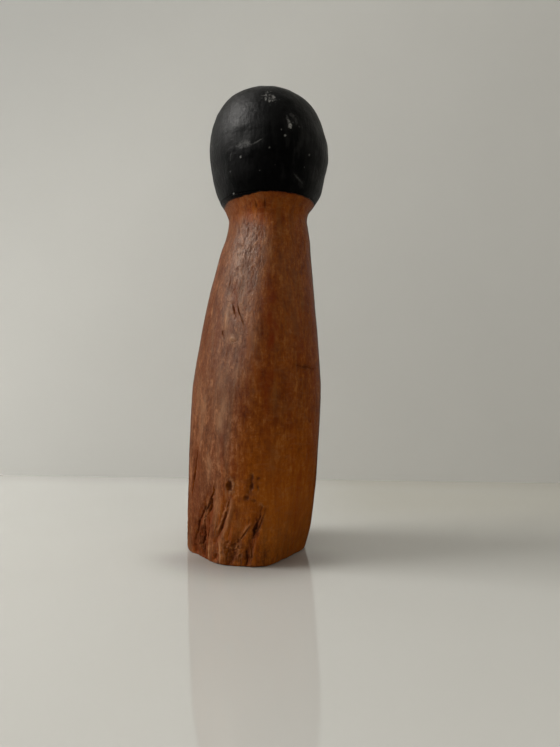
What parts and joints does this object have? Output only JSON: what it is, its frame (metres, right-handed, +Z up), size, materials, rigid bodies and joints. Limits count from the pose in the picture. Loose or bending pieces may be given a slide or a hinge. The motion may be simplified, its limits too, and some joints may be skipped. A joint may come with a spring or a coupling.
{
  "type": "carved wooden peg figure",
  "caption": "Hand-carved wooden standing figure: a leaning, softly squared trunk that flares at the neck, with a plain round black-painted head.",
  "frame": {"origin": "centre of the flat face that the figure stands on", "axes": "+Z up towards the head, -Y towards the side with the long soft ridge and the splits, +X towards the side that the head leans to"},
  "size_m": [0.0866, 0.0764, 0.28],
  "materials": {
    "waxed_wood": "red-brown stained and waxed, rubbed and worn, with open grain, pores and drying splits",
    "head_wood": "bare carved wood under the paint",
    "black_paint": "brushed satin black paint, scuffed and chipped",
    "peg_wood": "bare pale wood"
  },
  "bodies": {
    "root": {"body": "waxed_wood", "head": "head_wood", "paint_coat": "black_paint", "neck_dowel": "peg_wood"}
  },
  "joints": []
}
